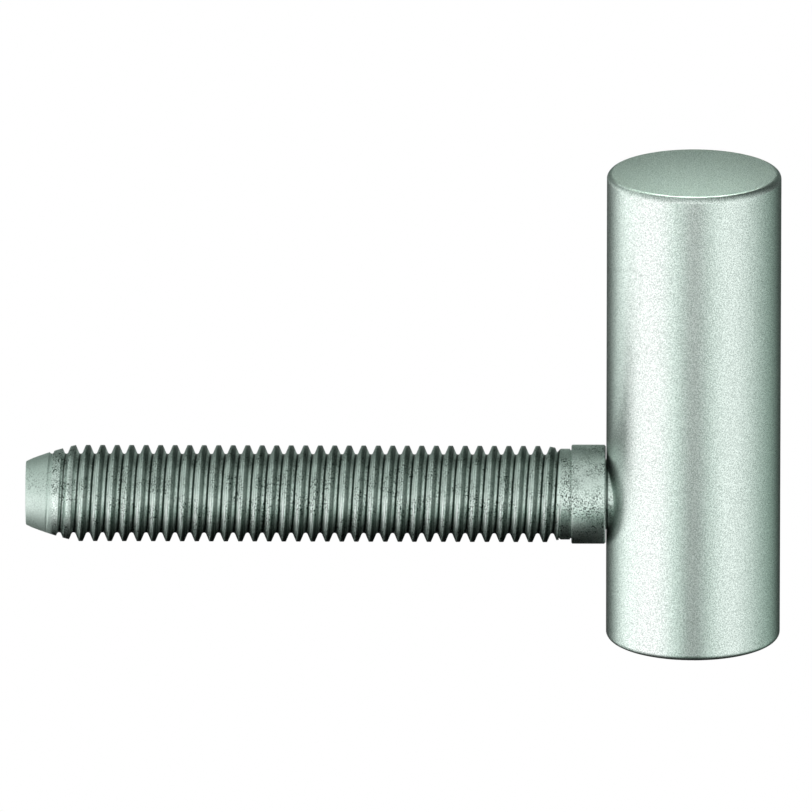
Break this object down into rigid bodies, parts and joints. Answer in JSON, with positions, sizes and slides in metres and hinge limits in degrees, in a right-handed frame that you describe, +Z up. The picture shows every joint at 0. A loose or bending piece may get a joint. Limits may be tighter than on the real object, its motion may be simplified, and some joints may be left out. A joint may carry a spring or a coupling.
{
  "type": "door hinge frame part",
  "caption": "Frame part of a drill-in door hinge: an upright round knuckle with a blind bushed bore and a horizontal threaded pin with a tapered tip.",
  "frame": {"origin": "centre of the hinge pin bore's mouth, on the hinge axis in the plane of the knuckle's open end", "axes": "+Z up along the hinge axis into the knuckle, threaded pin along -X, +Y completes the right-handed frame"},
  "size_m": [0.078, 0.018, 0.05],
  "materials": {
    "satin_plated_steel": "satin, finely blasted",
    "zinc_plated_steel": "bright zinc on a rolled thread",
    "bush_plastic": "matt, dark"
  },
  "bodies": {
    "root": {"knuckle": "satin_plated_steel", "bearing_bush": "bush_plastic", "threaded_pin": "zinc_plated_steel"}
  },
  "joints": []
}
